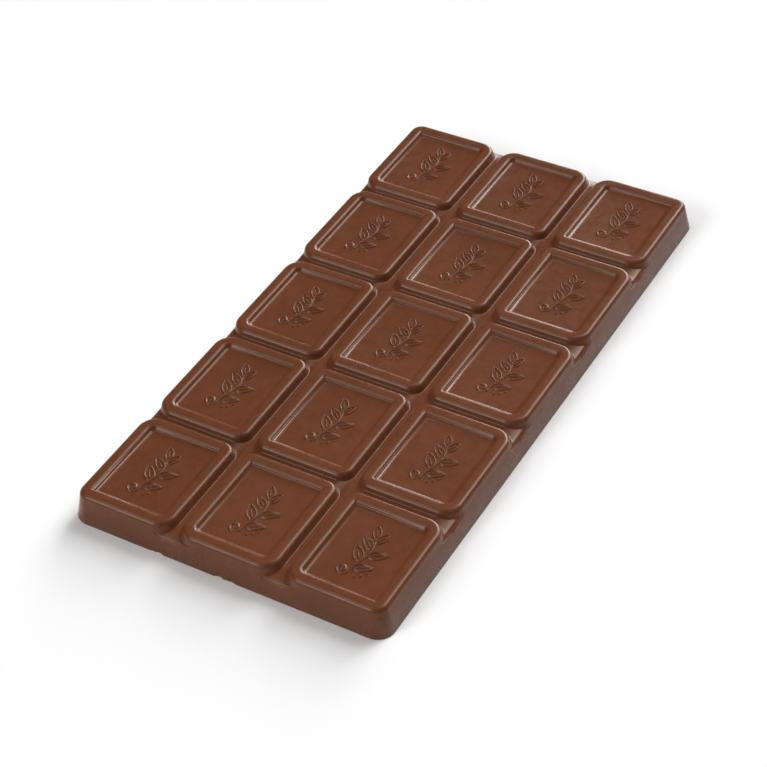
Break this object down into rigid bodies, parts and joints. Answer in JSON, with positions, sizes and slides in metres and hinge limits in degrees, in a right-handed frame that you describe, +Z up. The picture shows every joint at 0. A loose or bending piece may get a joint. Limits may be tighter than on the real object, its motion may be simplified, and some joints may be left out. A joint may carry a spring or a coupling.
{
  "type": "chocolate bar",
  "caption": "Flat bar of milk chocolate cast as a grid of rounded rectangular pieces with raised rims, parted by shallow snapping grooves.",
  "frame": {"origin": "centre of the flat poured underside, on the surface the bar lies on", "axes": "+Z up from the underside to the moulded face, +Y along the long side, +X along the short side"},
  "size_m": [0.0792, 0.154, 0.0074],
  "materials": {
    "milk_chocolate": "satin"
  },
  "bodies": {
    "root": {"chocolate_bar": "milk_chocolate"}
  },
  "joints": []
}
